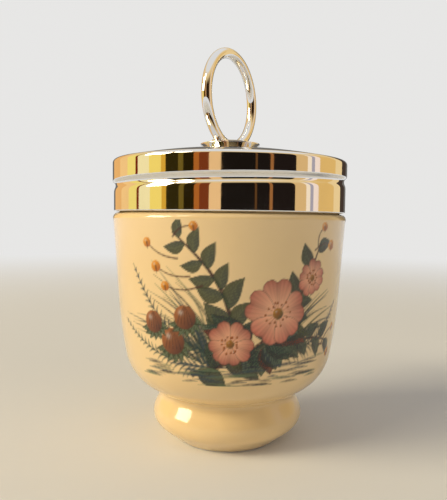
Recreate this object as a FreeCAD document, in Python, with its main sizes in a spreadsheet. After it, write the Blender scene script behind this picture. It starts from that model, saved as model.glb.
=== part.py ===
import FreeCAD, Part
import Sketcher
import math
import os
import re

# Porcelain egg coddler: a footed porcelain cup with a chrome-plated screw lid and a lifting ring.
# Origin: centre of the foot, on the surface it stands on. +Z is up, and the front of the cup faces -Y.
# All lengths are in millimetres and all angles in degrees.

doc = FreeCAD.newDocument("egg_coddler")
sheet = doc.addObject("Spreadsheet::Sheet", "dims")

SIZES = [
    # Foot ring, hollow underneath
    ("contact_inner_radius", 12.8, "inner edge of the ring that touches the table"),
    ("contact_outer_radius", 14.8, "outer edge of the ring that touches the table"),
    ("contact_round", 0.6, "rounding of both edges of the contact ring"),
    ("foot_corner_radius", 21.84, "where the foot's two slopes would meet"),
    ("foot_corner_height", 5.91, "height of that meeting point"),
    ("foot_bulge", 4.3, "rounding of the foot's bulge"),
    ("waist_radius", 18.2, "narrowest place, between foot and bowl"),
    ("waist_height", 13.0, "height of the waist"),
    ("waist_round", 1.1, "hollow rounding of the waist"),
    ("recess_top_radius", 11.4, "radius of the hollow under the foot at its ceiling"),
    ("recess_depth", 10.5, "depth of the hollow under the foot"),
    ("recess_round", 2.5, "rounding at the recess ceiling"),
    # Bowl
    ("turn_inset", 4.75, "from the shoulder in to where the underside and lower wall would meet"),
    ("turn_height", 17.54, "height of that meeting point"),
    ("turn_round", 13.4, "rounding between underside and wall"),
    ("belly_inset", 2.09, "from the shoulder in to where the lower and upper wall would meet"),
    ("belly_height", 31.54, "height of that meeting point"),
    ("belly_share", 0.98, "part of the straight lower wall that the belly's long curve takes"),
    ("shoulder_lap", 0.23, "how far the shoulder stands out past the lid's skirt"),
    ("shoulder_height", 61.5, "height of the shoulder, just under the lid"),
    ("shoulder_round", 1.4, "rounding of the shoulder"),
    ("floor_height", 16.5, "height of the cup's inside floor"),
    ("floor_inset", 1.7, "how far the inside wall leans in from the mouth to the floor"),
    ("floor_round", 11.0, "rounding between inside floor and wall"),
    ("neck_wall", 3.05, "thickness of the neck's wall at the mouth"),
    ("rim_outer_round", 0.8, "outer rounding of the rim"),
    ("rim_inner_round", 1.4, "inner rounding of the rim"),
    # Lid shell, pressed from sheet
    ("lid_radius", 31.6, "outside radius of the lid's skirt"),
    ("lid_sheet", 0.5, "thickness of the lid's sheet metal"),
    ("lid_edge_gap", 0.32, "from the cup's shoulder up to the lid's lower edge"),
    ("lid_height", 17.1, "from the lid's lower edge to the middle of its dome"),
    ("dome_radius", 140.0, "radius of the lid's shallow dome"),
    ("lid_edge_round", 1.0, "outside rounding between skirt and dome"),
    ("rim_seat_gap", 0.25, "between the cup's rim and the lid's inside"),
    # Screw thread: a bead rolled into the skirt, and a ridge on the cup's neck
    ("thread_pitch", 3.6, "rise of the thread in one turn"),
    ("groove_height", 7.46, "middle of the groove at the front, above the lid's lower edge"),
    ("groove_round", 0.75, "radius of the rolled groove's bottom"),
    ("thread_flank", 50.0, "angle between each flank of the thread and its middle line"),
    ("bead_half_span", 165.0, "how far the rolled bead runs each way from the front"),
    ("bead_runout", 14.0, "angle over which each end of the bead fades"),
    ("ridge_half_span", 105.0, "how far the neck's ridge runs each way from the front"),
    ("ridge_round", 0.8, "radius of the ridge's crest"),
    ("ridge_runout", 14.0, "angle over which each end of the ridge fades"),
    ("neck_gap", 0.3, "between the bead's crest and the cup's neck"),
    ("crest_gap", 0.35, "between the ridge's crest and the lid's inside wall"),
    ("root_depth", 0.25, "how deep a bead or ridge is rooted in its wall"),
    ("faded_depth", 0.06, "how far a faded end lies past the surface it fades into"),
    ("faded_round", 0.1, "rounding of the thread's section where it has faded"),
    ("overcut", 0.5, "how far a cutting shape runs past the metal"),
    # Boss, ring and washer in the middle of the lid
    ("boss_radius", 8.2, "outer radius of the saucer-shaped boss under the ring"),
    ("boss_rim_height", 1.73, "top of the boss's rim, above the middle of the dome"),
    ("boss_rim", 0.25, "thickness of the boss's thin rim"),
    ("boss_foot_radius", 5.8, "radius where the boss stands on the lid"),
    ("boss_height", 3.38, "height of the boss above the middle of the dome"),
    ("boss_crown_radius", 5.3, "radius where the boss's crown meets its flank"),
    ("boss_crown_drop", 0.3, "how far the crown's edge lies below its middle"),
    ("boss_crown_round", 0.9, "rounding of the crown's edge"),
    ("boss_flank_radius", 6.4, "radius of the hollow in the boss's flank"),
    ("boss_flank_rise", 0.25, "height of that hollow above the rim"),
    ("boss_flank_round", 1.6, "hollow rounding of the flank"),
    ("spigot_radius", 4.6, "radius of the boss's spigot, through the lid"),
    ("spigot_gap", 0.03, "play of the spigot in the lid's hole"),
    ("rivet_head_radius", 6.0, "radius of the spigot's spread end"),
    ("rivet_head_height", 0.7, "thickness of the spread end"),
    ("ring_radius", 12.4, "radius of the finger ring's centreline"),
    ("ring_wire_radius", 1.36, "radius of the ring's wire"),
    ("ring_lift", 0.02, "height of the wire's lowest point above the middle of the dome"),
    ("ring_turn", 60.0, "how far the ring's plane is turned from the front"),
    ("braze_gap", 0.02, "between the wire and its seat in the boss"),
    ("washer_radius", 9.0, "outer radius of the washer inside the lid"),
    ("washer_thickness", 0.6, "thickness of the washer"),
    ("washer_bore_gap", 0.05, "running play of the washer on the spigot"),
    ("washer_face_gap", 0.1, "running play above and below the washer"),
]

for row, (alias, number, meaning) in enumerate(SIZES, start=1):
    sheet.set(f"A{row}", alias.replace("_", " "))
    sheet.set(f"B{row}", str(number))
    sheet.setAlias(f"B{row}", alias)
    sheet.set(f"C{row}", meaning)
doc.recompute()


def expression(words):
    """The same formula with each size's alias pointed at the sheet."""
    aliases = {alias for alias, number, meaning in SIZES}
    return re.sub(
        "[a-z_]+", lambda word: f"dims.{word[0]}" if word[0] in aliases else word[0], words
    )


def value(words):
    """The number that a formula of sizes has now."""
    found = sheet.evalExpression(expression(words))
    return float(getattr(found, "Value", found))


# Heights and radii that several pieces share
LID_BOTTOM = "( shoulder_height + lid_edge_gap )"
LID_TOP = f"( {LID_BOTTOM} + lid_height )"
LID_INNER_RADIUS = "( lid_radius - lid_sheet )"
GROOVE_FRONT = f"( {LID_BOTTOM} + groove_height )"
BEAD_ROUND = "( groove_round + lid_sheet )"
BEAD_CREST = "( lid_radius - groove_round - lid_sheet )"
NECK_RADIUS = f"( {BEAD_CREST} - neck_gap )"
RIDGE_FRONT = f"( {GROOVE_FRONT} + thread_pitch / 2 )"
RIDGE_CREST = f"( {LID_INNER_RADIUS} - crest_gap )"
MOUTH_RADIUS = f"( {NECK_RADIUS} - neck_wall )"
RIM_EDGE = f"( {NECK_RADIUS} - rim_outer_round )"
DOME_INSIDE = "( dome_radius - lid_sheet )"
RIM_HEIGHT = (
    f"( {LID_TOP} - dome_radius + sqrt( {DOME_INSIDE} ^ 2 - {RIM_EDGE} ^ 2 ) - rim_seat_gap )"
)

SEAT_HEIGHT = f"( {LID_TOP} - dome_radius + sqrt( dome_radius ^ 2 - spigot_radius ^ 2 ) )"

# Bowl wall: the belly's curve fills what the turn's rounding leaves of the lower wall
SHOULDER_RADIUS = "( lid_radius + shoulder_lap )"
BELLY_RADIUS = f"( {SHOULDER_RADIUS} - belly_inset )"
TURN_RADIUS = f"( {SHOULDER_RADIUS} - turn_inset )"
LOWER_RISE = "( belly_height - turn_height )"
LOWER_RUN = "( turn_inset - belly_inset )"
LOWER_LEAN = f"( atan( {LOWER_RUN} / {LOWER_RISE} ) )"
UPPER_LEAN = "( atan( belly_inset / ( shoulder_height - belly_height ) ) )"
UNDERSIDE_LEAN = (
    f"( atan( ( {TURN_RADIUS} - waist_radius ) / ( turn_height - waist_height ) ) )"
)
TURN_REACH = f"( turn_round * tan( ( {UNDERSIDE_LEAN} - {LOWER_LEAN} ) / 2 ) )"
LOWER_FREE = f"( sqrt( {LOWER_RISE} ^ 2 + {LOWER_RUN} ^ 2 ) - {TURN_REACH} )"
BELLY_ROUND = f"( belly_share * {LOWER_FREE} / tan( ( {LOWER_LEAN} - {UPPER_LEAN} ) / 2 ) )"


def new_body(label):
    body = doc.addObject("PartDesign::Body", label + "_body")
    body.Label = label
    return body


def origin_plane(body, role):
    for feature in body.Origin.OriginFeatures:
        if feature.Role == role:
            return feature
    raise ValueError(f"{body.Label} has no {role}")


def corner_sketch(body, name, corners, turn=None):
    """A closed sketch in the XZ plane, or in that plane turned about Z: straight sides between
    corners, some of them rounded. Each corner is (radius, height, rounding or None), as formulas."""
    sketch = body.newObject("Sketcher::SketchObject", name)
    sketch.AttachmentSupport = [(origin_plane(body, "XZ_Plane"), "")]
    sketch.MapMode = "FlatFace"
    if turn is not None:
        axis = FreeCAD.Vector(0, 1, 0)
        rotation = FreeCAD.Rotation(axis, value(turn))
        sketch.AttachmentOffset = FreeCAD.Placement(FreeCAD.Vector(), rotation)
    doc.recompute()

    points = [FreeCAD.Vector(value(r), value(z), 0) for r, z, rounding in corners]
    count = len(corners)
    starts = []
    ends = []
    arcs = []
    for i, (r, z, rounding) in enumerate(corners):
        if rounding is None:
            starts.append(points[i])
            ends.append(points[i])
            arcs.append(None)
            continue
        back = (points[i - 1] - points[i]).normalize()
        ahead = (points[(i + 1) % count] - points[i]).normalize()
        half = back.getAngle(ahead) / 2
        reach = value(rounding) / math.tan(half)
        centre = points[i] + (back + ahead).normalize() * (value(rounding) / math.sin(half))
        ends.append(points[i] + back * reach)
        starts.append(points[i] + ahead * reach)
        arcs.append(centre)

    lines = [
        sketch.addGeometry(Part.LineSegment(starts[i], ends[(i + 1) % count]), False)
        for i in range(count)
    ]
    for i, (r, z, rounding) in enumerate(corners):
        before = lines[i - 1]
        after = lines[i]
        if rounding is None:
            sketch.addConstraint(Sketcher.Constraint("Coincident", before, 2, after, 1))
            place_point(sketch, after, 1, r, z)
            continue
        circle = Part.Circle(arcs[i], FreeCAD.Vector(0, 0, 1), value(rounding))
        first = circle.parameter(ends[i])
        last = circle.parameter(starts[i])
        left_turn = (ends[i] - points[i - 1]).cross(starts[i] - ends[i]).z > 0
        if not left_turn:
            first, last = last, first
        arc = sketch.addGeometry(Part.ArcOfCircle(circle, first, last), False)
        first_end, last_end = (1, 2) if left_turn else (2, 1)
        sketch.addConstraint(Sketcher.Constraint("Tangent", before, 2, arc, first_end))
        sketch.addConstraint(Sketcher.Constraint("Tangent", arc, last_end, after, 1))
        radius = sketch.addConstraint(Sketcher.Constraint("Radius", arc, value(rounding)))
        sketch.setExpression(f"Constraints[{radius}]", expression(rounding))
        corner = sketch.addGeometry(Part.Point(points[i]), True)
        sketch.addConstraint(Sketcher.Constraint("PointOnObject", corner, 1, before))
        sketch.addConstraint(Sketcher.Constraint("PointOnObject", corner, 1, after))
        place_point(sketch, corner, 1, r, z)
    doc.recompute()
    return sketch


def place_point(sketch, geometry, end, r, z):
    """Holds a sketch point at a radius and a height, both bound to the sheet."""
    for kind, words in (("DistanceX", r), ("DistanceY", z)):
        amount = value(words)
        if abs(amount) < 1e-9:
            axis = -2 if kind == "DistanceX" else -1
            sketch.addConstraint(Sketcher.Constraint("PointOnObject", geometry, end, axis))
            continue
        index = sketch.addConstraint(Sketcher.Constraint(kind, -1, 1, geometry, end, amount))
        sketch.setExpression(f"Constraints[{index}]", expression(words))


def revolve(body, sketch, kind="PartDesign::Revolution"):
    """Turns a sketch once round the Z axis, as a solid or as a cut."""
    feature = body.newObject(kind, sketch.Name + "_turned")
    feature.Profile = sketch
    feature.ReferenceAxis = (sketch, ["V_Axis"])
    feature.Angle = 360.0
    sketch.Visibility = False
    doc.recompute()
    body.Tip = feature
    return feature


def rounded_vee(middle, base, crest, rounding):
    """Corners of a thread section: a V with a rounded crest, its base at one radius and the crest
    at another. The V's corner lies past the crest, because the rounding cuts it back."""
    outward = value(crest) > value(base)
    sign = "+" if outward else "-"
    apex = f"( {crest} {sign} {rounding} * ( 1 / sin( thread_flank ) - 1 ) )"
    reach = f"( abs( {apex} - {base} ) * tan( thread_flank ) )"
    corners = [
        (base, f"{middle} - {reach}", None),
        (apex, middle, rounding),
        (base, f"{middle} + {reach}", None),
    ]
    return corners if outward else corners[::-1]


def thread_part(body, name, section, half_span, runout, cut=False):
    """A helical bead, ridge or groove that runs half_span each way from the front, and fades over
    runout at both ends. section(height, fade) gives the corners; fade 1 is the faded end."""
    verb = "Subtractive" if cut else "Additive"

    def section_sketch(tag, angle, fade):
        height = f"( thread_pitch * ( {angle} ) / 360 )"
        return corner_sketch(body, f"{name}_{tag}", section(height, fade), f"{angle} - 90")

    low = section_sketch("low", f"( 0 - {half_span} )", 0)
    helix = body.newObject(f"PartDesign::{verb}Helix", f"{name}_helix")
    helix.Profile = low
    helix.ReferenceAxis = (low, ["V_Axis"])
    helix.Mode = "pitch-turns-angle"
    helix.setExpression("Pitch", expression("thread_pitch"))
    helix.setExpression("Turns", expression(f"{half_span} / 180"))
    helix.Angle = 0.0
    helix.LeftHanded = False
    helix.Reversed = False
    doc.recompute()
    body.Tip = helix

    for tag, sign in (("low", "-"), ("high", "+")):
        full = section_sketch(f"{tag}_full", f"( 0 {sign} {half_span} )", 0)
        faded = section_sketch(f"{tag}_faded", f"( 0 {sign} ( {half_span} + {runout} ) )", 1)
        loft = body.newObject(f"PartDesign::{verb}Loft", f"{name}_{tag}_runout")
        loft.Profile = full
        loft.Sections = [faded]
        loft.Ruled = True
        doc.recompute()
        body.Tip = loft


# Cup: one piece of porcelain, with its foot and a threaded neck


def make_cup():
    body = new_body("cup")
    profile = corner_sketch(body, "cup_profile", [
        ("0", "recess_depth", None),
        ("recess_top_radius", "recess_depth", "recess_round"),
        ("contact_inner_radius", "0", "contact_round"),
        ("contact_outer_radius", "0", "contact_round"),
        ("foot_corner_radius", "foot_corner_height", "foot_bulge"),
        ("waist_radius", "waist_height", "waist_round"),
        (TURN_RADIUS, "turn_height", "turn_round"),
        (BELLY_RADIUS, "belly_height", BELLY_ROUND),
        (SHOULDER_RADIUS, "shoulder_height", "shoulder_round"),
        (NECK_RADIUS, "shoulder_height", None),
        (NECK_RADIUS, RIM_HEIGHT, "rim_outer_round"),
        (MOUTH_RADIUS, RIM_HEIGHT, "rim_inner_round"),
        (f"( {MOUTH_RADIUS} - floor_inset )", "floor_height", "floor_round"),
        ("0", "floor_height", None),
    ])
    revolve(body, profile)

    def ridge_section(height, fade):
        middle = f"{RIDGE_FRONT} + {height}"
        crest = RIDGE_CREST if fade == 0 else f"( {NECK_RADIUS} - faded_depth )"
        root = f"( {NECK_RADIUS} - root_depth )"
        rounding = "ridge_round" if fade == 0 else "faded_round"
        return rounded_vee(middle, root, crest, rounding)

    thread_part(body, "ridge", ridge_section, "ridge_half_span", "ridge_runout")
    return body


# Lid shell: pressed from sheet metal, with the thread rolled into its skirt


def cap_sketch(body, name, radius, bottom, top, dome):
    """Half the outline of a round cap in the XZ plane: level base, upright side, domed top."""
    edge = f"( {top} - {dome} + sqrt({dome} ^ 2 - {radius} ^ 2) )"
    sketch = body.newObject("Sketcher::SketchObject", name)
    sketch.AttachmentSupport = [(origin_plane(body, "XZ_Plane"), "")]
    sketch.MapMode = "FlatFace"
    doc.recompute()
    centre = FreeCAD.Vector(0, value(f"{top} - {dome}"), 0)
    circle = Part.Circle(centre, FreeCAD.Vector(0, 0, 1), value(dome))
    middle = FreeCAD.Vector(0, value(bottom), 0)
    foot = FreeCAD.Vector(value(radius), value(bottom), 0)
    corner = FreeCAD.Vector(value(radius), value(edge), 0)
    crown = FreeCAD.Vector(0, value(top), 0)
    base = sketch.addGeometry(Part.LineSegment(middle, foot), False)
    side = sketch.addGeometry(Part.LineSegment(foot, corner), False)
    arc = Part.ArcOfCircle(circle, circle.parameter(corner), circle.parameter(crown))
    roof = sketch.addGeometry(arc, False)
    axis = sketch.addGeometry(Part.LineSegment(crown, middle), False)
    for first, second in ((base, side), (side, roof), (roof, axis), (axis, base)):
        sketch.addConstraint(Sketcher.Constraint("Coincident", first, 2, second, 1))
    place_point(sketch, base, 1, "0", bottom)
    place_point(sketch, side, 1, radius, bottom)
    sketch.addConstraint(Sketcher.Constraint("Vertical", side))
    place_point(sketch, roof, 2, "0", top)
    sketch.addConstraint(Sketcher.Constraint("PointOnObject", roof, 3, -2))
    bend = sketch.addConstraint(Sketcher.Constraint("Radius", roof, value(dome)))
    sketch.setExpression(f"Constraints[{bend}]", expression(dome))
    doc.recompute()
    return sketch, value(radius), value(edge)


def round_edge(body, name, base, radius, height, rounding):
    """Rounds the circular edge at this radius and height."""
    fillet = body.newObject("PartDesign::Fillet", name)
    fillet.Base = (base, [edge_at(base.Shape, radius, height)])
    fillet.setExpression("Radius", expression(rounding))
    doc.recompute()
    body.Tip = fillet
    return fillet


def make_lid_shell():
    body = new_body("lid_shell")
    outside, radius, height = cap_sketch(
        body, "lid_outside", "lid_radius", LID_BOTTOM, LID_TOP, "dome_radius"
    )
    blank = revolve(body, outside)
    blank = round_edge(body, "outer_edge_rounding", blank, radius, height, "lid_edge_round")
    inside, radius, height = cap_sketch(
        body, "lid_inside", LID_INNER_RADIUS, LID_BOTTOM, f"( {LID_TOP} - lid_sheet )", DOME_INSIDE
    )
    shell = revolve(body, inside, "PartDesign::Groove")
    round_edge(body, "inner_edge_rounding", shell, radius, height, "lid_edge_round - lid_sheet")

    hole = corner_sketch(body, "spigot_hole", [
        ("0", f"{SEAT_HEIGHT} - lid_sheet - overcut", None),
        ("spigot_radius + spigot_gap", f"{SEAT_HEIGHT} - lid_sheet - overcut", None),
        ("spigot_radius + spigot_gap", f"{SEAT_HEIGHT} + overcut", None),
        ("0", f"{SEAT_HEIGHT} + overcut", None),
    ])
    revolve(body, hole, "PartDesign::Groove")

    def bead_section(height, fade):
        middle = f"{GROOVE_FRONT} + {height}"
        root = "( lid_radius - root_depth )"
        crest = BEAD_CREST if fade == 0 else f"( {LID_INNER_RADIUS} + faded_depth )"
        rounding = BEAD_ROUND if fade == 0 else "faded_round"
        return rounded_vee(middle, root, crest, rounding)

    def groove_section(height, fade):
        middle = f"{GROOVE_FRONT} + {height}"
        mouth = "( lid_radius + overcut )"
        crest = "( lid_radius - groove_round )" if fade == 0 else "( lid_radius + faded_depth )"
        rounding = "groove_round" if fade == 0 else "faded_round"
        return rounded_vee(middle, mouth, crest, rounding)

    thread_part(body, "bead", bead_section, "bead_half_span", "bead_runout")
    thread_part(body, "groove", groove_section, "bead_half_span", "bead_runout", cut=True)
    return body


def edge_at(shape, radius, height):
    """The name of the circular edge about Z at this radius and height."""
    for number, edge in enumerate(shape.Edges, start=1):
        point = edge.Vertexes[0].Point
        if abs(math.hypot(point.x, point.y) - radius) < 1e-4 and abs(point.z - height) < 1e-4:
            if isinstance(edge.Curve, Part.Circle) and abs(edge.Curve.Center.z - height) < 1e-4:
                return f"Edge{number}"
    raise ValueError(f"no edge at radius {radius} and height {height}")


# Boss, ring and washer


WASHER_TOP = (
    f"( {LID_TOP} - dome_radius + sqrt( {DOME_INSIDE} ^ 2 - washer_radius ^ 2 ) - washer_face_gap )"
)
WASHER_BOTTOM = f"( {WASHER_TOP} - washer_thickness )"
HEAD_TOP = f"( {WASHER_BOTTOM} - washer_face_gap )"
HEAD_BOTTOM = f"( {HEAD_TOP} - rivet_head_height )"
RING_HEIGHT = f"( {LID_TOP} + ring_lift + ring_wire_radius + ring_radius )"


def make_ring(name, wire):
    """A closed wire ring, standing on its edge in the turned plane."""
    ring = doc.addObject("Part::Torus", name)
    ring.setExpression("Radius1", expression("ring_radius"))
    ring.setExpression("Radius2", expression(wire))
    upright = FreeCAD.Rotation(FreeCAD.Vector(1, 0, 0), 90)
    turned = FreeCAD.Rotation(FreeCAD.Vector(0, 0, 1), value("ring_turn"))
    ring.Placement = FreeCAD.Placement(FreeCAD.Vector(), turned * upright)
    ring.setExpression("Placement.Base.z", expression(RING_HEIGHT))
    return ring


def make_ring_boss():
    body = doc.addObject("PartDesign::Body", "boss_blank")
    profile = corner_sketch(body, "boss_profile", [
        ("0", HEAD_BOTTOM, None),
        ("rivet_head_radius", HEAD_BOTTOM, "rivet_head_height / 2"),
        ("rivet_head_radius", HEAD_TOP, None),
        ("spigot_radius", HEAD_TOP, None),
        ("spigot_radius", SEAT_HEIGHT, None),
        ("boss_foot_radius", SEAT_HEIGHT, None),
        ("boss_radius", f"{LID_TOP} + boss_rim_height - boss_rim", None),
        ("boss_radius", f"{LID_TOP} + boss_rim_height", None),
        ("boss_flank_radius", f"{LID_TOP} + boss_rim_height + boss_flank_rise", "boss_flank_round"),
        ("boss_crown_radius", f"{LID_TOP} + boss_height - boss_crown_drop", "boss_crown_round"),
        ("0", f"{LID_TOP} + boss_height", None),
    ])
    revolve(body, profile)
    seat = make_ring("ring_seat", "ring_wire_radius + braze_gap")
    boss = doc.addObject("Part::Cut", "boss_with_seat")
    boss.Base = body
    boss.Tool = seat
    boss.Label = "ring_boss"
    return boss


def make_finger_ring():
    ring = make_ring("wire_ring", "ring_wire_radius")
    ring.Label = "finger_ring"
    return ring


def make_spigot_washer():
    body = new_body("spigot_washer")
    bore = "spigot_radius + washer_bore_gap"
    profile = corner_sketch(body, "washer_profile", [
        (bore, WASHER_BOTTOM, None),
        ("washer_radius", WASHER_BOTTOM, None),
        ("washer_radius", WASHER_TOP, None),
        (bore, WASHER_TOP, None),
    ])
    revolve(body, profile)
    return body


pieces = [
    make_cup(),
    make_lid_shell(),
    make_ring_boss(),
    make_finger_ring(),
    make_spigot_washer(),
]
doc.recompute()

for item in doc.Objects:
    if "Invalid" in item.State or "Error" in item.State:
        raise RuntimeError(f"{item.Label} failed: {item.State}")

os.makedirs("parts", exist_ok=True)
for piece in pieces:
    shape = piece.Shape
    if shape.isNull() or not shape.isValid() or len(shape.Solids) != 1:
        raise RuntimeError(f"{piece.Label} is not one valid solid")
    shape.exportStep(f"parts/{piece.Label}.step")
    box = shape.BoundBox
    print(piece.Label, "volume", round(shape.Volume, 1), "faces", len(shape.Faces),
          "heights", round(box.ZMin, 2), round(box.ZMax, 2))
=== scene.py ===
"""Looks of the porcelain egg coddler: glazed cup with a print, chrome screw lid, lifting ring.

Lengths are in metres here; the small helpers below take millimetres, as a maker would write them.
"""

import math

import bpy
import numpy as np
from mathutils import Matrix, Vector


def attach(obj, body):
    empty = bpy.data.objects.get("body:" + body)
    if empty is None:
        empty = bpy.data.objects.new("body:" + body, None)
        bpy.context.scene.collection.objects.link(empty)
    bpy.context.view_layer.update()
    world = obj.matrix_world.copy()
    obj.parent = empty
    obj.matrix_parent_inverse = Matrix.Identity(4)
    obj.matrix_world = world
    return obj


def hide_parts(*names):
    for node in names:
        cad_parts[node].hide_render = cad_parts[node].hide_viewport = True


MM = 0.001
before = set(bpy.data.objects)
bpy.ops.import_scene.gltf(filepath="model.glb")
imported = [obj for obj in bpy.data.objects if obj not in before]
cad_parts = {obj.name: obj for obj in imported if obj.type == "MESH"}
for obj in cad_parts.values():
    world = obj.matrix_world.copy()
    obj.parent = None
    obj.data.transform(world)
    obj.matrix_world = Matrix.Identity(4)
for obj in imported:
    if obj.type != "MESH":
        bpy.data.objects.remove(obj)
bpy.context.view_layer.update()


# Sizes of the coddler, in millimetres, as in the part's own source

LID_BOTTOM = 61.82
LID_TOP = 78.92
DOME = 140.0
SKIRT = 31.6
SHEET = 0.5
LID_EDGE_ROUND = 1.0
PITCH = 3.6
GROOVE_FRONT = 69.28
GROOVE_DEPTH = 0.66
GROOVE_LEAN = 0.5
GROOVE_WIDTHS = (1.22, 0.5)
THREAD_SPAN = 165.0
THREAD_RUNOUT = 16.0
NECK = 30.05
RIM = 75.07
SHOULDER_HEIGHT = 61.5
RIDGE_LIFT = 1.8
RIDGE_HEIGHT = 0.7
RIDGE_WIDTHS = (0.85, 0.85)
RIDGE_SPAN = 105.0
SPIGOT = 4.6
SPREAD_RADIUS = 6.0
SPREAD_BOTTOM = 76.63
SPREAD_TOP = 77.33
BOSS_RADIUS = 8.2
BOSS_RIM_LIFT = 1.73
BOSS_RIM_THICKNESS = 0.25
BOSS_CROWN_RADIUS = 5.3
BOSS_CROWN_LIFT = 2.6
WASHER_HOLE = 4.65
WASHER_RADIUS = 9.0
WASHER_BOTTOM = 77.43
WASHER_TOP = 78.03
WASHER_EDGE = 0.12
RING_RADIUS = 12.4
RING_WIRE = 1.36
RING_MIDDLE = 92.7
RING_TURN = math.radians(60.0)
RING_ENTRY = 6.15
FRONT = -90.0


# Surfaces


def rounded_outline(corners, step):
    """Points along straight sides between corners (radius, height, rounding), where a rounded
    corner becomes the arc that touches both sides: its centre lies on the corner's bisector, at
    rounding / sin(half angle). Sides and arcs are sampled about every step millimetres."""
    spots = np.array([corner[:2] for corner in corners], float)
    pieces = []
    last = None
    for i, here in enumerate(spots):
        rounding = corners[i][2]
        if rounding and 0 < i < len(corners) - 1:
            back = spots[i - 1] - here
            ahead = spots[i + 1] - here
            back /= np.linalg.norm(back)
            ahead /= np.linalg.norm(ahead)
            half = math.acos(np.clip(back @ ahead, -1, 1)) / 2
            middle = (back + ahead) / np.linalg.norm(back + ahead)
            centre = here + middle * rounding / math.sin(half)
            reach = rounding / math.tan(half)
            first, final = here + back * reach, here + ahead * reach
            a0 = math.atan2(*(first - centre)[::-1])
            a1 = math.atan2(*(final - centre)[::-1])
            turn = (a1 - a0 + math.pi) % (2 * math.pi) - math.pi
            count = max(5, int(abs(turn) * rounding / step) + 1, int(abs(turn) / 0.16) + 1)
            angles = a0 + turn * np.linspace(0, 1, count)
            arc = centre + rounding * np.column_stack([np.cos(angles), np.sin(angles)])
        else:
            arc = here[None]
        if last is not None:
            length = np.linalg.norm(arc[0] - last)
            count = max(2, int(length / step) + 1)
            pieces.append((last + (arc[0] - last) * np.linspace(0, 1, count)[:, None])[1:-1])
        pieces.append(arc)
        last = arc[-1]
    return np.vstack(pieces)


def turned_mesh(name, radius, height, angles, material, rides, replaces):
    """A closed surface on a grid of outline points and angles: x = r cos a, y = r sin a, z. The
    outline runs up the outside and down the inside, and its two ends either meet or lie on Z."""
    columns = radius.shape[1]
    x = radius * np.cos(angles)[None]
    y = radius * np.sin(angles)[None]
    points = np.stack([x, y, height], axis=-1) * MM
    open_ends = radius[0].max() < 1e-6 and radius[-1].max() < 1e-6
    body = points[1:-1] if open_ends else points
    grid = np.arange(body.shape[0] * columns).reshape(body.shape[0], columns)
    turned = np.roll(grid, -1, axis=1)
    if open_ends:
        low, high, low2, high2 = grid[:-1], grid[1:], turned[:-1], turned[1:]
    else:
        low, high = grid, np.roll(grid, -1, axis=0)
        low2, high2 = turned, np.roll(turned, -1, axis=0)
    quads = np.stack([low, low2, high2, high], axis=-1).reshape(-1, 4)
    vertices = body.reshape(-1, 3)
    faces = quads.tolist()
    if open_ends:
        first = len(vertices)
        vertices = np.vstack([vertices, points[0, :1], points[-1, :1]])
        start = np.stack([np.full(columns, first), turned[0], grid[0]], axis=-1)
        end = np.stack([np.full(columns, first + 1), grid[-1], turned[-1]], axis=-1)
        faces += start.tolist() + end.tolist()
    return make_piece(name, vertices, faces, material, rides, replaces)


def make_piece(name, vertices, faces, material, rides, replaces):
    """A smooth-shaded mesh that rides a body, stands for a node and takes a slot's finish."""
    mesh = bpy.data.meshes.new(name)
    mesh.from_pydata(vertices, [], faces)
    mesh.polygons.foreach_set("use_smooth", np.ones(len(mesh.polygons), bool))
    mesh.update()
    piece = bpy.data.objects.new(name, mesh)
    bpy.context.scene.collection.objects.link(piece)
    mesh.materials.append(material)
    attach(piece, rides)
    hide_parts(replaces)
    return piece


def smooth(edge0, edge1, x):
    """0 below edge0, 1 above edge1, and 3t^2 - 2t^3 between."""
    t = np.clip((x - edge0) / (edge1 - edge0), 0, 1)
    return t * t * (3 - 2 * t)


def wrapped(degrees):
    """Angle from the front, from -180 to 180."""
    return (degrees - FRONT + 180) % 360 - 180


def thread_bump(height, degrees, middle, widths, span):
    """Cross-section exp(-|d / width|^2.4) about the helix z = middle + pitch * angle / 360, where
    d is the height above it, with one width below the helix and one above. It fades out over the
    run-out past each end of the span."""
    turn = wrapped(degrees)
    bump = np.zeros(np.broadcast(height, turn).shape)
    for lap in (-360.0, 0.0, 360.0):
        along = turn + lap
        away = height - middle - PITCH * along / 360
        width = np.where(away < 0, widths[0], widths[1])
        fade = 1 - smooth(span, span + THREAD_RUNOUT, np.abs(along))
        bump = np.maximum(bump, fade * np.exp(-np.abs(away / width) ** 2.4))
    return bump


# Shader maths


class Flow:
    """A socket of a node tree, on which + and * and a few named steps add nodes."""

    def __init__(self, tree, socket):
        self.tree = tree
        self.socket = socket

    def node(self, kind, settings=None, **inputs):
        """A new node. Its inputs are given by name, or by number as i0, i1 and so on."""
        made = self.tree.nodes.new(kind)
        for key, setting in (settings or {}).items():
            setattr(made, key, setting)
        for key, given in inputs.items():
            self.plug(made.inputs[int(key[1:])] if key[1:].isdigit() else
                      made.inputs[key.replace("_", " ")], given)
        return made

    def plug(self, socket, given):
        if isinstance(given, Flow):
            self.tree.links.new(given.socket, socket)
        else:
            socket.default_value = given

    def out(self, made, index=0):
        return Flow(self.tree, made.outputs[index])

    def math(self, operation, *others):
        values = {f"i{i}": v for i, v in enumerate((self, *others))}
        return self.out(self.node("ShaderNodeMath", {"operation": operation}, **values))

    def __add__(self, other):
        return self.math("ADD", other)

    def __mul__(self, other):
        return self.math("MULTIPLY", other)

    def span(self, low, high, to_low=0.0, to_high=1.0):
        """This value mapped smoothly from low..high to to_low..to_high."""
        return self.out(self.node(
            "ShaderNodeMapRange", {"interpolation_type": "SMOOTHSTEP"},
            i0=self, i1=low, i2=high, i3=to_low, i4=to_high))

    def mix(self, first, second):
        """Colour first where this is 0, second where it is 1."""
        made = self.node("ShaderNodeMix", {"data_type": "RGBA"}, i0=self, i6=first, i7=second)
        return self.out(made, 2)


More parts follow.
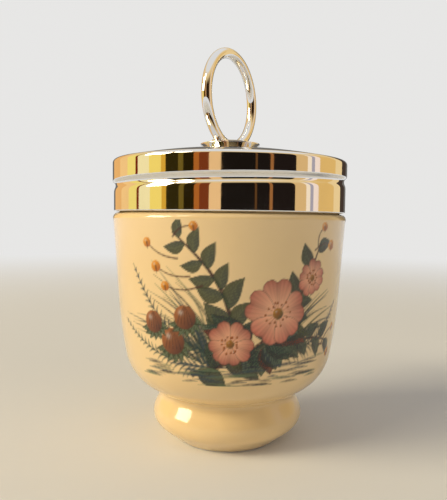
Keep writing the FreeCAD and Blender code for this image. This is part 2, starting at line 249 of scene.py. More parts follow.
def start_material(name):
    """A material, its Principled shader, and a Flow of the Object coordinates."""
    material = bpy.data.materials.new(name)
    material.use_nodes = True
    tree = material.node_tree
    shader = tree.nodes["Principled BSDF"]
    coordinates = tree.nodes.new("ShaderNodeTexCoord")
    return material, shader, Flow(tree, coordinates.outputs["Object"])


def noise(place, scale, detail=2.0, roughness=0.5, stretch=None):
    """Noise of about 1 / scale metres, by default even, or drawn out by a Mapping's scale."""
    source = place
    if stretch:
        source = place.out(place.node("ShaderNodeMapping", i0=place, Scale=stretch))
    made = place.node("ShaderNodeTexNoise", Vector=source, Scale=scale, Detail=detail,
                      Roughness=roughness)
    return place.out(made)


def bump(place, height, distance, strength):
    """A normal that is tilted by a height map, up to distance metres high."""
    return place.out(place.node("ShaderNodeBump", Height=height, Distance=distance,
                                Strength=strength))


# Heights in metres between which the foot ring's bare biscuit passes into the glaze
BARE_BELOW = 0.0001
GLAZED_ABOVE = 0.00035


def porcelain_glaze():
    """Ivory glaze over the print, glassy, with faint orange peel, specks and bare biscuit where
    the foot ring touches the table."""
    material, shader, place = start_material("ivory_glaze")
    made = place.node("ShaderNodeAttribute", {"attribute_name": "print_colour"})
    print_colour = place.out(made)
    cloud = noise(place, 55.0, 3.0).span(0.35, 0.7)
    tint = cloud.mix((1.0, 1.0, 1.0, 1.0), (0.975, 0.96, 0.93, 1.0))
    glazed = place.out(place.node(
        "ShaderNodeMix", {"data_type": "RGBA", "blend_type": "MULTIPLY"},
        i0=1.0, i6=print_colour, i7=tint), 2)
    height = place.out(place.node("ShaderNodeSeparateXYZ", i0=place), 2)
    bare = height.span(GLAZED_ABOVE, BARE_BELOW)
    specks = noise(place, 2600.0, 1.0).span(0.74, 0.8)
    glazed = (specks * 0.25).mix(glazed, (0.42, 0.33, 0.22, 1.0))
    biscuit = noise(place, 1800.0, 2.0).mix((0.83, 0.79, 0.7, 1.0), (0.72, 0.66, 0.55, 1.0))
    place.plug(shader.inputs["Base Color"], bare.mix(glazed, biscuit))
    rough = noise(place, 90.0, 2.0).span(0.3, 0.7, 0.07, 0.12)
    place.plug(shader.inputs["Roughness"], bare.math("MAXIMUM", rough))
    peel = noise(place, 210.0, 1.0)
    place.plug(shader.inputs["Normal"], bump(place, peel, 0.00005, 0.5))
    shader.inputs["Coat Weight"].default_value = 0.4
    shader.inputs["Coat Roughness"].default_value = 0.03
    shader.inputs["IOR"].default_value = 1.5
    return material


CHROME = (0.86, 0.855, 0.85, 1.0)
HAZED_CHROME = tuple(0.93 * part for part in CHROME[:3]) + (1.0,)


def chrome(name):
    """Bright chrome plate with fine wiping marks, which run across, and faint finger haze."""
    material, shader, place = start_material(name)
    haze = noise(place, 120.0, 3.0, 0.6).span(0.45, 0.75)
    marks = noise(place, 900.0, 2.0, 0.6, (1.0, 1.0, 14.0)).span(0.5, 0.8)
    place.plug(shader.inputs["Base Color"], (haze * 0.5).mix(CHROME, HAZED_CHROME))
    place.plug(shader.inputs["Roughness"], haze * 0.035 + marks * 0.03 + 0.035)
    wave = noise(place, 110.0, 1.0) + marks * 0.008
    place.plug(shader.inputs["Normal"], bump(place, wave, 0.00004, 0.3))
    shader.inputs["Metallic"].default_value = 1.0
    return material


def plain_steel():
    """Dull steel with a fine grain."""
    material, shader, place = start_material("washer_steel_skin")
    grain = noise(place, 700.0, 2.0)
    place.plug(shader.inputs["Base Color"], grain.mix((0.5, 0.5, 0.5, 1.0), (0.62, 0.61, 0.6, 1.0)))
    place.plug(shader.inputs["Roughness"], grain.span(0.2, 0.8, 0.28, 0.42))
    shader.inputs["Metallic"].default_value = 1.0
    return material


# The printed spray, painted on the glaze as colours of the surface's own points


IVORY = np.array([0.82, 0.61, 0.33])


def srgb(red, green, blue):
    """A colour as a paint maker gives it, 0 to 255, made linear."""
    part = np.array([red, green, blue], float) / 255
    return np.where(part <= 0.04045, part / 12.92, ((part + 0.055) / 1.055) ** 2.4)


TEAL = srgb(38, 84, 78)
DEEP_TEAL = srgb(22, 52, 54)
OLIVE = srgb(96, 104, 52)
SAGE = srgb(120, 138, 108)
SLATE = srgb(74, 98, 112)
BROWN = srgb(112, 62, 34)
DARK_BROWN = srgb(66, 36, 24)
BLUSH = srgb(226, 148, 128)
PALE_BLUSH = srgb(244, 200, 170)
ROSE = srgb(196, 92, 84)
OCHRE = srgb(214, 138, 30)
AMBER = srgb(238, 178, 60)
RUST = srgb(170, 78, 24)
HAZEL = srgb(204, 138, 80)
HAZEL_SHADE = srgb(132, 78, 44)


FIRED_SHARE = 0.66
FIRED_POWER = 1.35

# Half-widths in millimetres of the soft edges of painted shapes and of brush lines
SHAPE_EDGE = 0.12
STROKE_EDGE = 0.19


def fired(colour):
    """A paint after firing, sunk into the glaze: dark ones deepen more than pale ones."""
    return FIRED_SHARE * np.power(colour, FIRED_POWER)


class Print:
    """Colours of surface points at (across, up), in millimetres along the wall and above the
    table. Each stroke lays a colour over a soft-edged shape."""

    def __init__(self, across, up, colours):
        self.across = across
        self.up = up
        self.colours = colours
        ripple = np.sin(across * 5.1 + up * 2.3) + np.sin(across * 2.7 - up * 6.1)
        self.grain = 0.5 + 0.25 * ripple

    def near(self, low, high, margin=0.6):
        """Which points lie in the box from low to high, or within a margin of it."""
        return np.flatnonzero(
            (self.across > low[0] - margin) & (self.across < high[0] + margin)
            & (self.up > low[1] - margin) & (self.up < high[1] + margin))

    def lay(self, chosen, cover, colour):
        """Paint the chosen points, over what is there, as strongly as cover says, from 0 to 1."""
        amount = np.clip(cover * 1.05, 0, 1)[:, None]
        self.colours[chosen] = self.colours[chosen] * (1 - amount) + fired(colour) * amount

    def stroke(self, points, widths, colour, cover=0.85):
        """A brush line through the points, its half-width going evenly through the widths."""
        points = np.array(points, float)
        widths = np.interp(np.linspace(0, 1, len(points)), np.linspace(0, 1, len(widths)), widths)
        chosen = self.near(points.min(0), points.max(0), widths.max() + 0.4)
        if not len(chosen):
            return
        place = np.column_stack([self.across[chosen], self.up[chosen]])
        depth = np.full(len(chosen), -9.0)
        for start, end, w0, w1 in zip(points[:-1], points[1:], widths[:-1], widths[1:]):
            run = end - start
            t = np.clip(((place - start) @ run) / max(run @ run, 1e-9), 0, 1)
            away = np.linalg.norm(place - start - t[:, None] * run, axis=1)
            depth = np.maximum(depth, w0 + (w1 - w0) * t - away)
        strength = smooth(-STROKE_EDGE, STROKE_EDGE, depth) * cover
        strength = strength * (0.8 + 0.4 * self.grain[chosen])
        self.lay(chosen, strength, colour)

    def leaf(self, base, tip, width, dark, light):
        """A pointed leaf from base to tip, its half-width width * sin(pi t^0.8), darker along one
        half and at its edge, with a midrib and side veins."""
        base = np.array(base, float)
        tip = np.array(tip, float)
        run = tip - base
        length = np.linalg.norm(run)
        run /= length
        side = np.array([-run[1], run[0]])
        corners = np.array([base, tip])
        chosen = self.near(corners.min(0), corners.max(0), width + 0.5)
        if not len(chosen):
            return
        place = np.column_stack([self.across[chosen], self.up[chosen]]) - base
        t = place @ run / length
        u = place @ side
        u = u - 0.12 * length * np.sin(np.pi * np.clip(t, 0, 1))
        half = width * np.sin(np.pi * np.clip(t, 0, 1) ** 0.8)
        inside = np.where((t > 0) & (t < 1), half - np.abs(u), -1.0)
        cover = smooth(-SHAPE_EDGE, SHAPE_EDGE, inside) * 0.9
        blend = np.clip(0.5 + 0.5 * u / width + 0.25 * (t - 0.5), 0, 1)[:, None]
        colour = dark * (1 - blend) + light * blend
        edge = 1 - smooth(0.0, 0.35, inside)
        colour = colour * (1 - 0.35 * edge[:, None])
        ribs = np.abs(np.sin((t * length - np.abs(u) * 0.9) * 2 * np.pi / 1.7)) > 0.93
        rib = (ribs | (np.abs(u) < 0.11)) & (inside > 0.1)
        pale = light * 1.35 + 0.05
        colour = np.where(rib[:, None], colour * 0.45 + pale * 0.55, colour)
        self.lay(chosen, cover, colour)

    def petal(self, base, angle, length, width, inner, outer):
        """A heart-shaped petal that opens from its base at an angle in degrees."""
        run = np.array([math.cos(math.radians(angle)), math.sin(math.radians(angle))])
        side = np.array([-run[1], run[0]])
        base = np.array(base, float)
        chosen = self.near(base - length * 1.1, base + length * 1.1)
        if not len(chosen):
            return
        place = np.column_stack([self.across[chosen], self.up[chosen]]) - base
        t = place @ run / length
        u = place @ side / width
        notch = 0.1 * np.exp(-(u / 0.22) ** 2)
        reach = 1 - notch - 0.12 * u ** 2
        half = np.sin(np.pi * np.clip(t, 0, 1) ** 1.5 * 0.86) ** 0.7
        inside = np.minimum((half - np.abs(u)) * width, (reach - t) * length)
        inside = np.where(t > 0, inside, -1.0)
        blend = (np.clip(t, 0, 1) ** 1.3)[:, None]
        colour = inner * (1 - blend) + outer * blend
        streak = 0.5 + 0.5 * np.sin(np.arctan2(u, t + 0.15) * 26)
        colour = colour * (1 - 0.16 * (streak * np.clip(t, 0, 1))[:, None])
        rim = (1 - smooth(0.0, 0.4, inside))[:, None]
        fold = np.exp(-(u / 0.16) ** 2) * np.clip(t, 0, 1)
        colour = colour * (1 - 0.45 * rim) * (1 - 0.22 * fold[:, None])
        self.lay(chosen, smooth(-SHAPE_EDGE, SHAPE_EDGE, inside) * 0.92, colour)

    def berry(self, middle, radius, body, shade):
        """A round fruit, shaded to its lower right, with a glint."""
        middle = np.array(middle, float)
        chosen = self.near(middle - radius, middle + radius)
        if not len(chosen):
            return
        place = (np.column_stack([self.across[chosen], self.up[chosen]]) - middle) / radius
        away = np.linalg.norm(place, axis=1)
        tone = np.clip(0.5 + 0.5 * (place[:, 0] - place[:, 1]) * 0.8, 0, 1)[:, None]
        colour = body * (1 - tone) + shade * tone
        glint = np.exp(-((place[:, 0] + 0.35) ** 2 + (place[:, 1] - 0.38) ** 2) / 0.05)[:, None]
        colour = colour * (1 - 0.6 * glint) + 0.95 * 0.6 * glint
        inside = (1 - away) * radius
        self.lay(chosen, smooth(-SHAPE_EDGE, SHAPE_EDGE, inside) * 0.95, colour)


def bend(start, end, bow, count=14):
    """Points on a bowed line: the straight run plus bow * sin(pi t) to its left."""
    start = np.array(start, float)
    end = np.array(end, float)
    t = np.linspace(0, 1, count)[:, None]
    run = end - start
    side = np.array([-run[1], run[0]]) / np.linalg.norm(run)
    return start + run * t + side * bow * np.sin(np.pi * t)


def paint_fern(art, start, end, bow, reach, colour, tip_colour, draws):
    """A fern frond: a thin stalk with paired narrow leaflets, longest in the lower third."""
    stalk = bend(start, end, bow, 24)
    art.stroke(stalk, [0.22, 0.1], colour)
    for i in range(2, len(stalk) - 1):
        t = i / len(stalk)
        run = stalk[i + 1] - stalk[i]
        heading = math.degrees(math.atan2(run[1], run[0]))
        length = reach * (1 - t) ** 0.6 * (0.6 + 0.4 * math.sin(math.pi * min(1, t * 2.2)))
        for side in (-1, 1):
            angle = math.radians(heading + side * (52 + draws.uniform(-6, 6)))
            tip = stalk[i] + length * np.array([math.cos(angle), math.sin(angle)])
            shade = colour * (1 - t) + tip_colour * t
            art.stroke(bend(stalk[i], tip, -side * 0.08 * length, 5), [0.26, 0.2, 0.06], shade, 0.8)


def paint_blossom(art, middle, size, tilt, draws):
    """A five-petalled wild rose with a ring of ochre stamens."""
    for i in range(5):
        angle = tilt + 72 * i + draws.uniform(-7, 7)
        lit = draws.uniform(0.82, 1.25)
        art.petal(middle, angle, size * draws.uniform(0.88, 1.08), size * draws.uniform(0.46, 0.54),
                  PALE_BLUSH * 1.45, (BLUSH * 0.75 + ROSE * 0.3 + BROWN * 0.2) * lit)
    art.berry(middle, size * 0.17, AMBER, OLIVE)
    for i in range(16):
        angle = math.radians(i * 22.5 + draws.uniform(-8, 8))
        reach = size * draws.uniform(0.26, 0.42)
        spot = np.array(middle) + reach * np.array([math.cos(angle), math.sin(angle)])
        art.stroke([middle, spot], [0.07, 0.05], OCHRE * 0.8, 0.6)
        art.berry(spot, 0.27, OCHRE, RUST)


def paint_sprig(art, stem, count, length, width, dark, light, draws):
    """Alternate leaves along a stem."""
    for i in range(count):
        t = (i + 0.6) / count
        place = stem[int(t * (len(stem) - 1))]
        ahead = stem[min(len(stem) - 1, int(t * (len(stem) - 1)) + 1)]
        run = ahead - place
        if run @ run < 1e-9:
            run = stem[-1] - stem[-2]
        heading = math.degrees(math.atan2(run[1], run[0]))
        side = 1 if i % 2 else -1
        angle = math.radians(heading + side * (48 + draws.uniform(-10, 10)))
        size = length * (1.05 - 0.45 * t) * draws.uniform(0.88, 1.1)
        tip = place + size * np.array([math.cos(angle), math.sin(angle)])
        art.leaf(place, tip, width * size / length, dark, light)


def paint_tuft(art, root, angles, lengths, count, colours, draws):
    """Grass: bowed blades that fan out from a root, each up to 0.6 mm wide and pointed."""
    for i in range(count):
        angle = math.radians(draws.uniform(*angles))
        length = draws.uniform(*lengths)
        start = np.array(root) + (draws.uniform(-2.2, 2.2), draws.uniform(-0.8, 0.8))
        tip = start + length * np.array([math.cos(angle), math.sin(angle)])
        bow = length * 0.14 * math.copysign(1, math.cos(angle)) * draws.uniform(0.5, 1.3)
        art.stroke(bend(start, tip, bow, 12), [0.2, 0.3, 0.2, 0.04], colours[i % len(colours)],
                   draws.uniform(0.6, 0.9))


def paint_spray(art):
    """A garden spray of wild roses, hazelnuts, hips and fern, with its crown to the right."""
    draws = np.random.default_rng(11)
    # Grass and ferns behind, on both sides
    paint_tuft(art, (-5, 27), (112, 172), (13, 27), 30, (SLATE, TEAL, SAGE, DEEP_TEAL), draws)
    paint_tuft(art, (13, 28), (18, 66), (12, 23), 20, (TEAL, SLATE, OLIVE), draws)
    paint_fern(art, (4, 27), (-26, 49), 5.0, 6.0, TEAL, SLATE, draws)
    paint_fern(art, (0, 26), (-32, 35), 3.0, 5.2, SLATE, SAGE, draws)
    paint_fern(art, (12, 29), (34, 40), -3.5, 5.2, DEEP_TEAL, SLATE, draws)
    # Twigs
    main = bend((-9, 24), (24, 55), -6.5, 40)
    left = bend((2, 28.5), (-13, 57), -4.0, 36)
    low = bend((6, 27.5), (31, 30), 3.0, 30)
    for twig in (main, left, low):
        art.stroke(twig, [0.7, 0.45, 0.18], BROWN, 0.92)
        art.stroke(twig + (0.12, -0.18), [0.26, 0.14, 0.06], DARK_BROWN, 0.75)
    paint_sprig(art, left, 13, 8.4, 2.2, TEAL, OLIVE, draws)
    paint_sprig(art, main, 13, 9.4, 2.7, DEEP_TEAL, TEAL * 0.6 + OLIVE * 0.5, draws)
    paint_sprig(art, low, 9, 8.0, 2.3, DEEP_TEAL, SAGE * 0.7, draws)
    # A mass of leaves that the blossoms sit on
    for i in range(22):
        angle = math.radians(150 + i * 240 / 21 + draws.uniform(-6, 6))
        start = np.array([7.0, 33.0]) + 3.0 * np.array([math.cos(angle), math.sin(angle)])
        size = draws.uniform(8.0, 12.5) * (0.75 if math.sin(angle) < -0.3 else 1.0)
        tip = start + size * np.array([math.cos(angle), 0.72 * math.sin(angle)])
        dark = (DEEP_TEAL, TEAL, DARK_BROWN, DEEP_TEAL, SLATE * 0.7)[i % 5]
        light = (TEAL * 0.7 + OLIVE * 0.5, SAGE * 0.8, RUST * 0.8, OLIVE, SAGE)[i % 5]
        art.leaf(start, tip, 2.5, dark, light)
    # Hips on thin stalks
    for start, end, size in (
        ((-12, 51), (-20.5, 54.5), 1.2), ((-9, 47), (-18, 49), 1.35), ((-13, 56), (-8, 58.5), 1.05),
        ((22, 53), (28.5, 54), 1.3), ((23, 54), (25, 58.5), 1.1), ((27, 29.5), (33, 26.5), 1.2),
        ((28, 29.2), (34, 33), 1.1), ((-6, 45), (-15.5, 44.5), 1.15),
    ):
        art.stroke(bend(start, end, 0.9, 8), [0.22, 0.14], BROWN, 0.85)
        art.berry(end, size, AMBER * 1.3, OCHRE)
        art.stroke([end, np.array(end) + (0.25, -1.25 * size)], [0.24, 0.06], DARK_BROWN, 0.7)
    # Hazelnuts in their ruffs
    for middle, size in (((-14, 31.0), 3.2), ((-19.5, 35.2), 2.7), ((-10.5, 37.0), 2.8)):
        place = np.array(middle, float)
        for i in range(7):
            angle = math.radians(-160 + i * 24)
            tip = place + size * 1.75 * np.array([math.cos(angle), math.sin(angle) * 0.9])
            art.leaf(place, tip, size * 0.36, OLIVE * 0.7, SAGE)
        art.berry(place + (0, 0.5), size, HAZEL, HAZEL_SHADE)
        for i in range(-2, 3):
            stripe = bend(place + (0.34 * i * size, -0.4 * size), place + (0.1 * i, 1.05 * size),
                          -0.1 * i, 8)
            art.stroke(stripe, [0.13, 0.04], DARK_BROWN, 0.7)
    paint_blossom(art, (12.0, 38.5), 7.8, 20, draws)
    paint_blossom(art, (0.5, 31.6), 5.8, 55, draws)
    paint_blossom(art, (21.6, 46.4), 4.4, 80, draws)
    # Loose strokes of ground below
    for i in range(70):
        x = draws.uniform(-27, 24)
        z = 20.6 + draws.uniform(0, 5.0) + abs(x) * 0.05
        art.stroke(bend((x, z), (x + draws.uniform(3, 9), z + draws.uniform(-0.3, 0.4)), 0.2, 6),
                   [0.05, 0.36, 0.05], (SLATE, SAGE * 1.3, SLATE * 1.2, DEEP_TEAL)[i % 4],
                   draws.uniform(0.45, 0.8))


# Pieces


# The printed panel: its heights in millimetres, its half-width in degrees from the front, and
# the wall radius at which its own millimetres are measured
PRINT_LOW = 20
PRINT_HIGH = 60
PRINT_HALF = 72
PRINT_RADIUS = 31.0


def cup_outline():
    """Foot hollow, foot, bowl, neck, rim and inside, from the axis out and back to it. Rows are
    close up the outside of bowl and neck, four times wider on the foot and round the rim, and
    eight times wider inside."""
    corners = [
        # Hollow under the foot, and its contact ring
        (0, 10.5, None), (11.4, 10.5, 2.5), (12.8, 0, 0.6), (14.8, 0, 0.6),
        # Foot, crease, and the bowl with its belly and shoulder
        (21.84, 5.91, 4.3), (18.2, 13.0, 1.1), (27.08, 17.54, 13.4), (29.74, 31.54, 127.5),
        (31.83, SHOULDER_HEIGHT, 1.4),
        # Neck and rim, then the inside
        (NECK, SHOULDER_HEIGHT, 0.3), (NECK, RIM, 0.8), (27.0, RIM, 1.4), (25.3, 16.5, 11.0),
        (0, 16.5, None),
    ]
    outline = rounded_outline(corners, 0.3)
    row = np.arange(len(outline))
    radius, height = outline.T
    outside = row < np.argmax(height)
    close = outside & (height > 14) & (radius >= 12)
    keep = close | (row % 4 == 0)
    keep[~outside & (height < RIM - 3) & (row % 8 != 0)] = False
    keep[[0, -1]] = True
    return outline[keep]


def make_cup(material):
    """The glazed cup: its outline turned about Z, with the neck's ridge added as a bump. Columns
    are close across the printed front, closest in its middle."""
    outline = cup_outline()
    middle, panel = 48.0, 73.0
    degrees = FRONT + np.concatenate([
        np.arange(-panel, -middle, 0.8), np.arange(-middle, middle, 0.5),
        np.arange(middle, panel, 0.8), np.arange(panel, 360 - panel, 3.2)])
    radius = np.repeat(outline[:, :1], len(degrees), axis=1)
    height = np.repeat(outline[:, 1:], len(degrees), axis=1)
    on_neck = (np.abs(radius - NECK) < 0.3) & (height > SHOULDER_HEIGHT + 0.5)
    ridge = thread_bump(height, degrees[None], GROOVE_FRONT + RIDGE_LIFT, RIDGE_WIDTHS, RIDGE_SPAN)
    radius = radius + np.where(on_neck, RIDGE_HEIGHT * ridge, 0)
    cup = turned_mesh("glazed_cup", radius, height, np.radians(degrees), material, "cup_body",
                      "cup")

    points = np.empty(len(cup.data.vertices) * 3, np.float32)
    cup.data.vertices.foreach_get("co", points)
    points = points.reshape(-1, 3) / MM
    turn = wrapped(np.degrees(np.arctan2(points[:, 1], points[:, 0])))
    across = np.radians(turn) * PRINT_RADIUS
    reach = np.hypot(points[:, 0], points[:, 1])
    colours = np.repeat(IVORY[None], len(points), axis=0)
    outer = (reach > 27.5) & (np.abs(turn) < PRINT_HALF)
    chosen = np.flatnonzero(outer & (points[:, 2] > PRINT_LOW) & (points[:, 2] < PRINT_HIGH))
    art = Print(across[chosen], points[chosen, 2], colours[chosen])
    paint_spray(art)
    colours[chosen] = art.colours
    layer = cup.data.attributes.new("print_colour", "FLOAT_COLOR", "POINT")
    full = np.column_stack([colours, np.ones(len(points))]).astype(np.float32)
    layer.data.foreach_set("color", full.ravel())


def cap_outline(radius, sphere, rounding, bottom, hole, step):
    """Skirt from the bottom up, an arc that touches skirt and dome, then the dome in to the hole.
    The arc's centre lies rounding inside both: at radius - rounding, and sphere - rounding from
    the dome's own centre."""
    inner = radius - rounding
    centre = LID_TOP - DOME + math.sqrt((sphere - rounding) ** 2 - inner ** 2)
    up = np.arange(bottom, centre, step)
    skirt = np.column_stack([np.full(len(up), radius), up])
    lean = math.atan2(centre - (LID_TOP - DOME), inner)
    angles = np.linspace(0, lean, 12)
    edge = np.column_stack([inner + rounding * np.cos(angles), centre + rounding * np.sin(angles)])
    across = np.linspace(edge[-1, 0], hole, 34)[1:]
    dome = np.column_stack([across, LID_TOP - DOME + np.sqrt(sphere ** 2 - across ** 2)])
    return np.vstack([skirt, edge, dome])


LIP_EDGE = 0.12
BAND_BELOW = -0.12
BAND_STEP = 0.32


def make_lid(material):
    """The lid: outer and inner skins of the sheet on one grid, the groove rolled in from outside
    as a bead inside. The band above the groove stands slightly proud of the band below, and at
    the back, where the groove has run out, one band passes softly into the other."""
    hole = SPIGOT + 0.03
    bottom = LID_BOTTOM + LIP_EDGE
    outer = cap_outline(SKIRT, DOME, LID_EDGE_ROUND, bottom, hole, 0.17)
    inner = cap_outline(SKIRT - SHEET, DOME - SHEET, LID_EDGE_ROUND - SHEET, bottom, hole, 0.3)
    lip = np.array([[SKIRT - SHEET + LIP_EDGE, LID_BOTTOM], [SKIRT - LIP_EDGE, LID_BOTTOM]])
    outline = np.vstack([outer, inner[::-1], lip])
    degrees = np.arange(0, 360, 1.0)
    radius = np.repeat(outline[:, :1], len(degrees), axis=1)
    height = np.repeat(outline[:, 1:], len(degrees), axis=1)
    on_skirt = smooth(SKIRT - 2.2, SKIRT - 1.2, radius)
    groove = thread_bump(height, degrees[None], GROOVE_FRONT + GROOVE_LEAN, GROOVE_WIDTHS,
                         THREAD_SPAN)
    turn = wrapped(degrees)[None]
    fade = 1 - smooth(THREAD_SPAN - 20, 180.0, np.abs(turn))
    helix = GROOVE_FRONT + PITCH * turn / 360
    step_up = fade * smooth(-0.7, 0.7, height - helix)
    step_up = step_up + (1 - fade) * smooth(-3, 3, height - GROOVE_FRONT)
    band = (step_up * BAND_STEP + BAND_BELOW) * on_skirt
    radius = radius - GROOVE_DEPTH * groove * on_skirt + band
    turned_mesh("screw_lid", radius, height, np.radians(degrees), material, "lid_body",
                "lid_shell")


def make_boss(material):
    """The saucer-shaped boss, its spigot and spread end, turned about Z, with a soft collar of
    brazing where the wire goes in: 0.6 exp(-(d / 0.6)^2) high, at a distance d from the wire."""
    seat = LID_TOP - DOME + math.sqrt(DOME ** 2 - SPIGOT ** 2)
    rim = LID_TOP + BOSS_RIM_LIFT
    crown = LID_TOP + BOSS_CROWN_LIFT
    corners = [
        (0, SPREAD_BOTTOM, None), (SPREAD_RADIUS, SPREAD_BOTTOM, 0.34),
        (SPREAD_RADIUS, SPREAD_TOP, 0.05), (SPIGOT, SPREAD_TOP, 0.05),
        (SPIGOT, seat, 0.05), (5.8, seat, 0.1),
        (BOSS_RADIUS, rim - BOSS_RIM_THICKNESS, 0.08), (BOSS_RADIUS, rim, 0.08),
        (6.6, rim + 0.12, 1.4), (BOSS_CROWN_RADIUS, crown - 0.3, 0.7), (0, crown, None),
    ]
    outline = rounded_outline(corners, 0.16)
    degrees = np.arange(0, 360, 2.5)
    radius = np.repeat(outline[:, :1], len(degrees), axis=1)
    height = np.repeat(outline[:, 1:], len(degrees), axis=1)
    x = radius * np.cos(np.radians(degrees))
    y = radius * np.sin(np.radians(degrees))
    along = x * math.cos(RING_TURN) + y * math.sin(RING_TURN)
    off = -x * math.sin(RING_TURN) + y * math.cos(RING_TURN)
    away = np.maximum(np.hypot(np.abs(along) - RING_ENTRY, off) - RING_WIRE, 0)
    top = smooth(rim - 0.1, rim + 0.1, height) * smooth(BOSS_RADIUS, BOSS_RADIUS - 1, radius)
    collar = 0.6
    height = height + collar * np.exp(-(away / collar) ** 2) * top
    turned_mesh("saucer_boss", radius, height, np.radians(degrees), material, "lid_body",
                "ring_boss")


def make_ring(material):
    """The wire ring: a torus standing on edge, R + w cos v round its own axis, w sin v off its
    plane, which is turned about Z."""
    around = np.linspace(0, 2 * np.pi, 288, endpoint=False)[:, None]
    across = np.linspace(0, 2 * np.pi, 40, endpoint=False)[None]
    reach = RING_RADIUS + RING_WIRE * np.cos(across)
    along = reach * np.cos(around)
    up = RING_MIDDLE + reach * np.sin(around)
    off = RING_WIRE * np.sin(across) + 0 * around
    x = along * math.cos(RING_TURN) - off * math.sin(RING_TURN)
    y = along * math.sin(RING_TURN) + off * math.cos(RING_TURN)
    grid = np.arange(x.size).reshape(x.shape)
    low, high = grid, np.roll(grid, -1, axis=0)
    quads = np.stack([low, high, np.roll(high, -1, axis=1), np.roll(low, -1, axis=1)], axis=-1)
    vertices = np.stack([x, y, up], axis=-1).reshape(-1, 3) * MM
    make_piece("wire_ring", vertices, quads.reshape(-1, 4).tolist(), material, "lid_body",
               "finger_ring")


def make_washer(material):
    """The washer inside the lid, with eased edges."""
    corners = [
        (WASHER_HOLE, WASHER_BOTTOM, None), (WASHER_RADIUS, WASHER_BOTTOM, WASHER_EDGE),
        (WASHER_RADIUS, WASHER_TOP, WASHER_EDGE), (WASHER_HOLE, WASHER_TOP, None),
    ]
    outline = rounded_outline(corners, 0.2)
    degrees = np.arange(0, 360, 3.0)
    radius = np.repeat(outline[:, :1], len(degrees), axis=1)
    height = np.repeat(outline[:, 1:], len(degrees), axis=1)
    turned_mesh("plain_washer", radius, height, np.radians(degrees), material, "lid_carrier",
                "spigot_washer")


# Studio, in metres


BACKDROP = (0.80, 0.795, 0.785, 1.0)
WARM_WALL = (0.85, 0.62, 0.3, 1.0)
SOFT_FILL = (0.37, 0.345, 0.31, 1.0)
TABLE = (0.80, 0.81, 0.83, 1.0)
FLOOR_RADIUS = 8.0

# The table top passes into the backdrop between these distances from the middle
TABLE_ENDS = (0.16, 0.8)

# Studio cards: the radius of their ring, their lowest and highest edges, and the heights between
# which each passes from its own colour into the warm wall
CARD_RING = 6.0
CARD_FOOT = -0.6
CARD_TOP = 8.0
CARD_FADE = (2.4, 4.8)

LAMP_AIM = Vector((0, 0, 0.05))


def glow(tree, colour):
    """An Emission node with a fixed colour."""
    made = tree.nodes.new("ShaderNodeEmission")
    made.inputs["Color"].default_value = colour
    return made


def make_floor():
    """A pale table top that passes softly into the pale backdrop some way off."""
    bpy.ops.mesh.primitive_circle_add(vertices=96, radius=FLOOR_RADIUS, fill_type="NGON")
    floor = bpy.context.object
    floor.name = "pale_floor"
    material, shader, place = start_material("pale_table")
    shader.inputs["Base Color"].default_value = TABLE
    shader.inputs["Roughness"].default_value = 0.95
    shader.inputs["Specular IOR Level"].default_value = 0.1
    tree = material.node_tree
    away = place.out(place.node("ShaderNodeVectorMath", {"operation": "LENGTH"}, i0=place), 1)
    mixer = place.node("ShaderNodeMixShader", i0=away.span(*TABLE_ENDS))
    tree.links.new(shader.outputs[0], mixer.inputs[1])
    tree.links.new(glow(tree, BACKDROP).outputs[0], mixer.inputs[2])
    tree.links.new(mixer.outputs[0], tree.nodes["Material Output"].inputs["Surface"])
    floor.data.materials.append(material)


def make_card(name, start, end, colour):
    """A studio card, an upright strip of a wide ring about the coddler: x = R sin a, y = -R cos a,
    from azimuth start to end, in degrees right of the front. It shows only in reflections. High
    up, its colour passes into a warm wall and that into the backdrop."""
    angles = np.radians(np.linspace(start, end, max(2, int((end - start) / 3) + 1)))
    low = np.column_stack([CARD_RING * np.sin(angles), -CARD_RING * np.cos(angles),
                           np.full(len(angles), CARD_FOOT)])
    top = low + (0, 0, CARD_TOP - CARD_FOOT)
    count = len(angles)
    faces = [(i, i + 1, count + i + 1, count + i) for i in range(count - 1)]
    mesh = bpy.data.meshes.new(name)
    mesh.from_pydata(np.vstack([low, top]), [], faces)
    card = bpy.data.objects.new(name, mesh)
    bpy.context.scene.collection.objects.link(card)
    material, shader, place = start_material(name + "_paper")
    tree = material.node_tree
    tree.nodes.remove(shader)
    shine = glow(tree, BACKDROP)
    up = place.out(place.node("ShaderNodeSeparateXYZ", i0=place), 2)
    wall = up.span(*CARD_FADE).mix((*colour, 1.0), WARM_WALL)
    place.plug(shine.inputs["Color"], up.span(CARD_FADE[1], CARD_TOP).mix(wall, BACKDROP))
    tree.links.new(shine.outputs[0], tree.nodes["Material Output"].inputs["Surface"])
    mesh.materials.append(material)
    card.visible_camera = False
    card.visible_diffuse = False
    card.visible_shadow = False


def make_lamp(name, middle, size, energy, colour, mirrored=True):
    """A square soft lamp, aimed at the cup, that may show in reflections."""
    data = bpy.data.lights.new(name, "AREA")
    data.size = size
    data.energy = energy
    data.color = colour
    lamp = bpy.data.objects.new(name, data)
    lamp.location = middle
    lamp.visible_glossy = mirrored
    lamp.rotation_euler = (LAMP_AIM - Vector(middle)).to_track_quat("-Z", "Y").to_euler()
    bpy.context.scene.collection.objects.link(lamp)


def make_world():
    """The backdrop, as the camera and reflections see it, and a softer fill for the rest."""
    world = bpy.data.worlds.new("studio")
    bpy.context.scene.world = world
    world.use_nodes = True
    tree = world.node_tree
    background = tree.nodes["Background"]
    path = tree.nodes.new("ShaderNodeLightPath")
    seen = Flow(tree, path.outputs["Is Camera Ray"])
    glossy = Flow(tree, path.outputs["Is Glossy Ray"])
    clear = Flow(tree, path.outputs["Is Transmission Ray"])
    shown = seen.math("MAXIMUM", glossy).math("MAXIMUM", clear)
    seen.plug(background.inputs["Color"], shown.mix(SOFT_FILL, BACKDROP))
    background.inputs["Strength"].default_value = 1.0


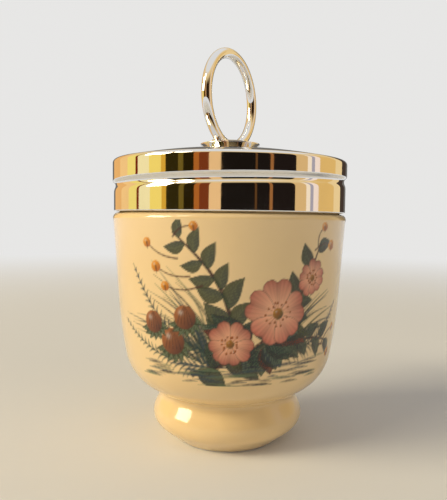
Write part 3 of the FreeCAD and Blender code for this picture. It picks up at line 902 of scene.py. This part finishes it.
def make_camera():
    """The photograph's view: eye 150 mm in front of the axis and 60.1 mm up, looking 3.3 degrees
    down, turned 0.66 degrees, with the axis 5.54 of the picture's 500 pixels right of the
    middle."""
    data = bpy.data.cameras.new("camera")
    data.lens = 38.64
    data.shift_x = -5.54 / 500
    data.clip_start = 0.005
    camera = bpy.data.objects.new("camera", data)
    tilt = Matrix.Rotation(math.radians(90 - 3.32), 4, "X")
    roll = Matrix.Rotation(math.radians(0.66), 4, "Z")
    camera.matrix_world = Matrix.Translation((0, -0.150, 0.0601)) @ tilt @ roll
    bpy.context.scene.collection.objects.link(camera)
    bpy.context.scene.camera = camera


make_camera()
make_cup(porcelain_glaze())
make_lid(chrome("lid_chrome_plate"))
make_boss(chrome("boss_chrome_plate"))
make_ring(chrome("ring_chrome_plate"))
make_washer(plain_steel())
make_floor()
make_world()
make_lamp("warm_window", (-3.8, -1.08, 1.85), 1.8, 146.0, (1.0, 0.86, 0.58))
make_lamp("warm_window_high", (-2.48, -2.0, 2.75), 0.9, 22.0, (1.0, 0.86, 0.6))
make_lamp("soft_right", (2.8, -2.8, 2.35), 2.4, 12.0, (1.0, 0.88, 0.74), mirrored=False)

# Each card's first and last azimuth and its colour: the bands that the lid's chrome shows
for number, (start, end, colour) in enumerate((
    (-150, -128, (0.9, 0.48, 0.16)),
    (-128, -112, (1.0, 0.62, 0.24)),
    (-112, -98.5, (1.0, 0.78, 0.2)),
    (-98.5, -95, (0.2, 0.02, 0.005)),
    (-95, -80, (1.0, 0.84, 0.42)),
    (-80, -66, (1.0, 0.74, 0.16)),
    (-66, -61, (0.75, 0.4, 0.04)),
    (-61, -48, (0.03, 0.02, 0.003)),
    (-48, -43, (0.17, 0.11, 0.015)),
    (-43, -33, (0.02, 0.012, 0.002)),
    (-33, -28, (0.45, 0.13, 0.02)),
    (-28, -19, (0.2, 0.04, 0.01)),
    (-19, -8, (0.9, 0.55, 0.24)),
    (-8, 23, (0.010, 0.007, 0.005)),
    (23, 25, (0.12, 0.05, 0.015)),
    (25, 37, (0.012, 0.008, 0.006)),
    (37, 40, (0.36, 0.14, 0.04)),
    (40, 63, (0.014, 0.009, 0.007)),
    (63, 76, (0.75, 0.48, 0.2)),
    (76, 81, (1.0, 0.82, 0.6)),
    (81, 85, (0.42, 0.38, 0.42)),
    (85, 92, (1.0, 0.8, 0.66)),
    (92, 118, (0.8, 0.5, 0.16)),
    (118, 134, (0.9, 0.66, 0.32)),
    (134, 150, (0.06, 0.04, 0.03)),
    (150, 210, (0.17, 0.16, 0.145)),
)):
    make_card(f"card_{number}", start, end, colour)
bpy.context.scene.view_settings.view_transform = "Standard"
